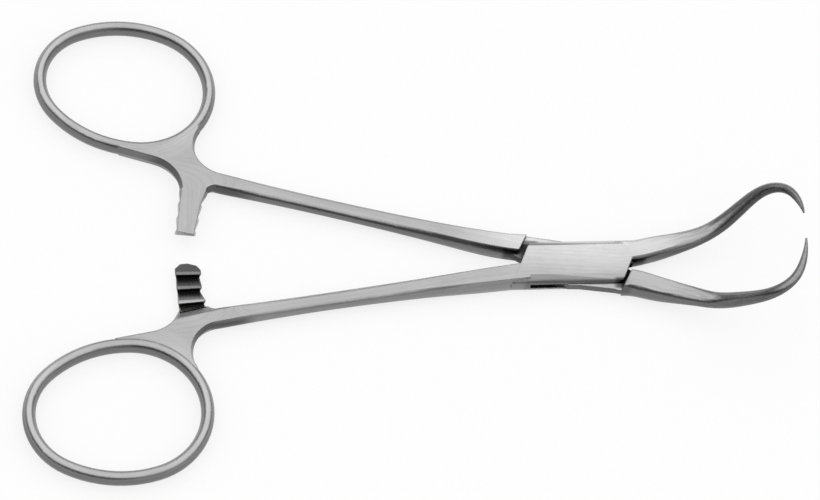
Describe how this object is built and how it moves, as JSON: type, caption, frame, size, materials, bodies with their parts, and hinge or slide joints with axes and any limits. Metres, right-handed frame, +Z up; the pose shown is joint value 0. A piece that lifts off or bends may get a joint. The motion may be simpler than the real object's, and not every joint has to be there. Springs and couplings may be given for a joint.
{
  "type": "towel clamp",
  "caption": "Surgical towel clamp: two finger-ring handles crossing at a box lock, a ratchet between the shanks, and jaws that bend up and hook in to meet point to point.",
  "frame": {"origin": "on the pivot axis, in the plane of the box lock's lower face, on which the clamp rests", "axes": "+X toward the jaws, +Y toward the ring of the tongue half, +Z up along the pivot axis"},
  "size_m": [0.1293, 0.0912, 0.0184],
  "materials": {
    "steel": "satin, fine grain along the shanks",
    "pin_steel": "satin, ground flush with the box"
  },
  "bodies": {
    "box_side": {"box_half": "steel", "pivot_pin": "pin_steel"},
    "tongue_side": {"tongue_half": "steel"}
  },
  "joints": [
    {"name": "lock_hinge", "type": "hinge", "parent": "box_side", "child": "tongue_side", "pos_m": [0, 0, 0.00195], "axis": [0, 0, 1], "range_deg": [-90, 7.4]}
  ]
}
